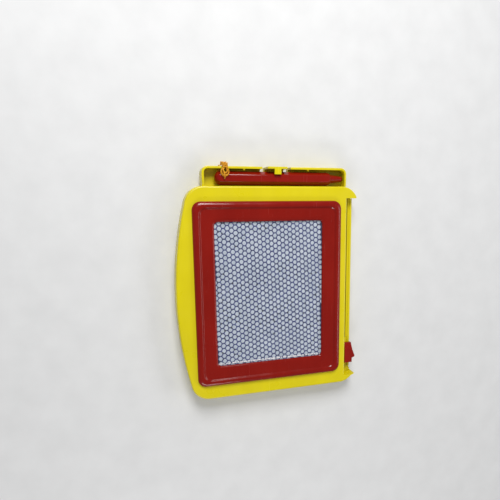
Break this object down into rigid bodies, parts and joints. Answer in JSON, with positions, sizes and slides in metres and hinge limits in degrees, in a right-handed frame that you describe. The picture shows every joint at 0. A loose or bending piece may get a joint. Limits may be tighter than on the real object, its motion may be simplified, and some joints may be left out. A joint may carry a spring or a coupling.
{
  "type": "magnetic drawing board",
  "caption": "Small toy magnetic drawing board with a framed honeycomb screen, a side eraser slider, a clip-in tray and a tethered magnet pen.",
  "frame": {"origin": "on the flat back, under the centre of the screen", "axes": "+Z out of the screen, +X along the board towards the pen tray, +Y towards the arched side; the eraser slider is on the -Y side"},
  "size_m": [0.1547, 0.1252, 0.0157],
  "materials": {
    "yellow_casing": "gloss",
    "red_frame": "gloss",
    "red_pen": "gloss",
    "red_knob": "gloss",
    "clear_film": "gloss",
    "honeycomb": "satin",
    "back_film": "satin",
    "seal": "matte",
    "magnet": "matte",
    "bar_plastic": "satin",
    "steel": "satin",
    "string": "matte"
  },
  "bodies": {
    "root": {"back_casing": "yellow_casing", "front_casing": "yellow_casing", "screen_bezel": "red_frame", "screen_film": "clear_film", "honeycomb_core": "honeycomb", "panel_back_film": "back_film", "panel_edge_seal": "seal", "casing_screws": "steel", "string_knot_tray": "string", "string_lead_tray": "string"},
    "eraser": {"eraser_bar": "bar_plastic", "eraser_magnet": "magnet", "slider_knob": "red_knob"},
    "clip": {"tray_clip": "yellow_casing"},
    "pen": {"pen_barrel": "red_pen", "pen_tip": "red_pen", "pen_magnet": "magnet", "string_hank": "string", "string_lead_pen": "string", "string_knot_pen": "string"}
  },
  "joints": [
    {"name": "eraser_slide", "type": "slide", "parent": "root", "child": "eraser", "axis": [1, 0, 0], "range_m": [0, 0.099]},
    {"name": "pen_lift", "type": "slide", "parent": "root", "child": "pen", "axis": [0, 0, 1], "range_m": [0, 0.009]},
    {"name": "clip_flex", "type": "hinge", "parent": "root", "child": "clip", "pos_m": [0.0821, -0.0058, 0.0016], "axis": [0, 1, 0], "range_deg": [0, 19]}
  ],
  "couplings": [
    {"joint": "clip_flex", "follows": "pen_lift", "rad_per_m": 36.652}
  ]
}
